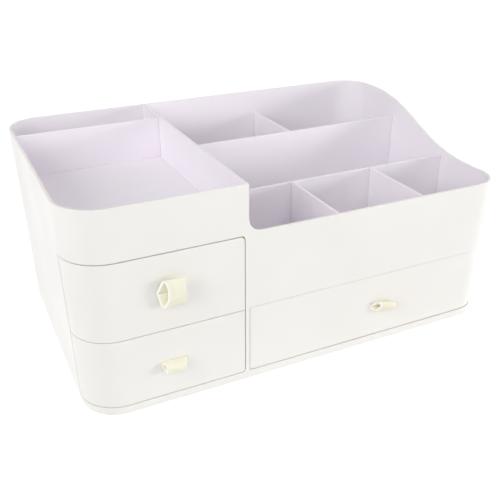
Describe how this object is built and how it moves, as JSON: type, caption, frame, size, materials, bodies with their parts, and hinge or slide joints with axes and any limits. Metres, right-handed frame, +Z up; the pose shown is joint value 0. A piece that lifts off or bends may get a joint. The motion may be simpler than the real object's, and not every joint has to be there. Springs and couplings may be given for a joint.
{
  "type": "cosmetic storage box",
  "caption": "Desktop box for cosmetics with a raised tray block, open divided compartments behind a low rim, and sliding drawers with folded strap pulls that wrap round the front corners.",
  "frame": {"origin": "under the middle of the overall box, on the plane that the feet stand on", "axes": "+X to the right along the fronts, +Y from the fronts to the back wall, +Z up"},
  "size_m": [0.32, 0.2132, 0.1447],
  "materials": {
    "case_plastic": "satin white injection-moulded plastic",
    "divider_plastic": "satin white injection-moulded plastic",
    "tub_plastic": "satin white injection-moulded plastic",
    "strap": "smooth cream imitation leather",
    "keeper_plastic": "matt white plastic",
    "foot_rubber": "matt pale grey rubber"
  },
  "bodies": {
    "case": {"outer_case": "case_plastic", "base_plate": "case_plastic", "centre_wall": "case_plastic", "drawer_shelf": "case_plastic", "tray_deck": "case_plastic", "compartment_deck": "case_plastic", "tray_rear_divider": "divider_plastic", "back_row_divider": "divider_plastic", "front_row_divider": "divider_plastic", "back_cell_divider": "divider_plastic", "front_cell_divider_left": "divider_plastic", "front_cell_divider_right": "divider_plastic", "foot_front_left": "foot_rubber", "foot_front_right": "foot_rubber", "foot_rear_left": "foot_rubber", "foot_rear_right": "foot_rubber"},
    "upper_drawer": {"upper_drawer_tub": "tub_plastic", "upper_drawer_front": "case_plastic", "upper_pull_tab": "strap", "upper_tab_keeper": "keeper_plastic"},
    "lower_drawer": {"lower_drawer_tub": "tub_plastic", "lower_drawer_front": "case_plastic", "lower_pull_tab": "strap", "lower_tab_keeper": "keeper_plastic"},
    "wide_drawer": {"wide_drawer_tub": "tub_plastic", "wide_drawer_front": "case_plastic", "wide_pull_tab": "strap", "wide_tab_keeper": "keeper_plastic"}
  },
  "joints": [
    {"name": "upper_drawer_slide", "type": "slide", "parent": "case", "child": "upper_drawer", "axis": [0, -1, 0], "range_m": [0, 0.15]},
    {"name": "lower_drawer_slide", "type": "slide", "parent": "case", "child": "lower_drawer", "axis": [0, -1, 0], "range_m": [0, 0.15]},
    {"name": "wide_drawer_slide", "type": "slide", "parent": "case", "child": "wide_drawer", "axis": [0, -1, 0], "range_m": [0, 0.15]}
  ]
}
